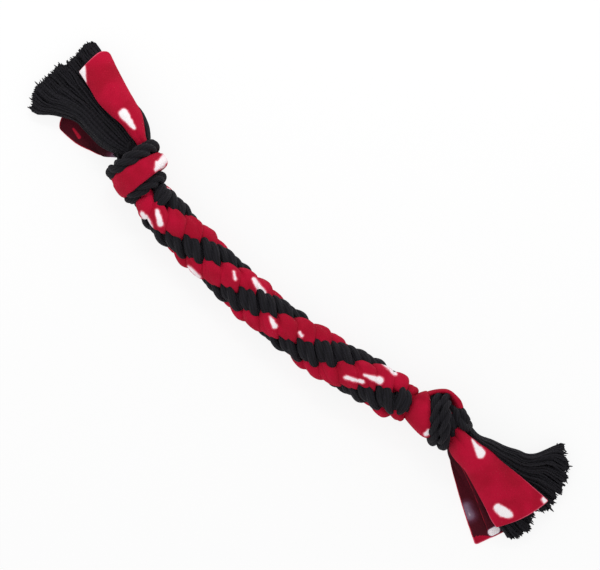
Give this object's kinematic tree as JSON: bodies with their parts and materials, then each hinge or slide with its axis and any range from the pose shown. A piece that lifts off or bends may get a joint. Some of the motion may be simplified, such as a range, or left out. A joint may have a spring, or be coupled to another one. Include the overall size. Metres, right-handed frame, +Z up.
{
  "type": "rope dog toy",
  "caption": "Braided tug toy of red spotted fleece strips and black cotton rope, tied in an overhand knot at each end, with flat fleece tails and frayed rope tassels.",
  "frame": {"origin": "under the middle of the toy's box, on the surface that it lies on", "axes": "+X along the toy from its left to its right end, +Z up from the surface"},
  "size_m": [0.4138, 0.095, 0.0365],
  "materials": {
    "fleece_face": "brushed printed fleece, matt with a soft pile",
    "fleece_back": "the strip's dark unprinted side, matt with a soft pile",
    "rope": "twisted three-ply cotton, matt",
    "rope_yarn": "unlaid soft cotton yarns, matt"
  },
  "bodies": {
    "braid": {"braid_rope_strand_1": "rope", "braid_fleece_strand_1": "fleece_face", "braid_rope_strand_2": "rope", "braid_fleece_strand_2": "fleece_face"},
    "left_end": {"left_knot_neck_rope_turn": "rope", "left_knot_fleece_turn": "fleece_face", "left_knot_mouth_rope_turn": "rope", "left_knot_heart": "rope", "left_near_tassel": "rope_yarn", "left_far_tassel": "rope_yarn"},
    "right_end": {"right_knot_fleece_turn": "fleece_face", "right_knot_small_rope_turn": "rope", "right_knot_large_rope_turn": "rope", "right_knot_nose_rope_turn": "rope", "right_knot_heart": "rope", "right_near_tassel": "rope_yarn", "right_far_tassel": "rope_yarn"},
    "left_upper_tail": {"left_upper_fleece_tail": "fleece_face"},
    "left_lower_tail": {"left_lower_fleece_tail": "fleece_back"},
    "right_upper_tail": {"right_upper_fleece_tail": "fleece_face"},
    "right_lower_tail": {"right_lower_fleece_tail": "fleece_back"}
  },
  "joints": [
    {"name": "left_neck_bend", "type": "hinge", "parent": "braid", "child": "left_end", "pos_m": [-0.10661, -0.00417, 0.01804], "axis": [0, 0, 1], "range_deg": [-15, 15]},
    {"name": "right_neck_bend", "type": "hinge", "parent": "braid", "child": "right_end", "pos_m": [0.1006, -0.00797, 0.01754], "axis": [0, 0, 1], "range_deg": [-15, 15]},
    {"name": "left_upper_tail_lift", "type": "hinge", "parent": "left_end", "child": "left_upper_tail", "pos_m": [-0.13318, 0.01082, 0.0284], "axis": [0.342, 0.9397, 0], "range_deg": [0, 60]},
    {"name": "right_upper_tail_lift", "type": "hinge", "parent": "right_end", "child": "right_upper_tail", "pos_m": [0.13231, -0.00433, 0.0288], "axis": [0.6225, -0.7826, 0], "range_deg": [0, 60]},
    {"name": "left_lower_tail_swing", "type": "hinge", "parent": "left_end", "child": "left_lower_tail", "pos_m": [-0.13636, 0.00208, 0.005], "axis": [0, 0, 1], "range_deg": [0, 20]},
    {"name": "right_lower_tail_swing", "type": "hinge", "parent": "right_end", "child": "right_lower_tail", "pos_m": [0.13486, -0.00818, 0.003], "axis": [0, 0, -1], "range_deg": [0, 20]}
  ]
}
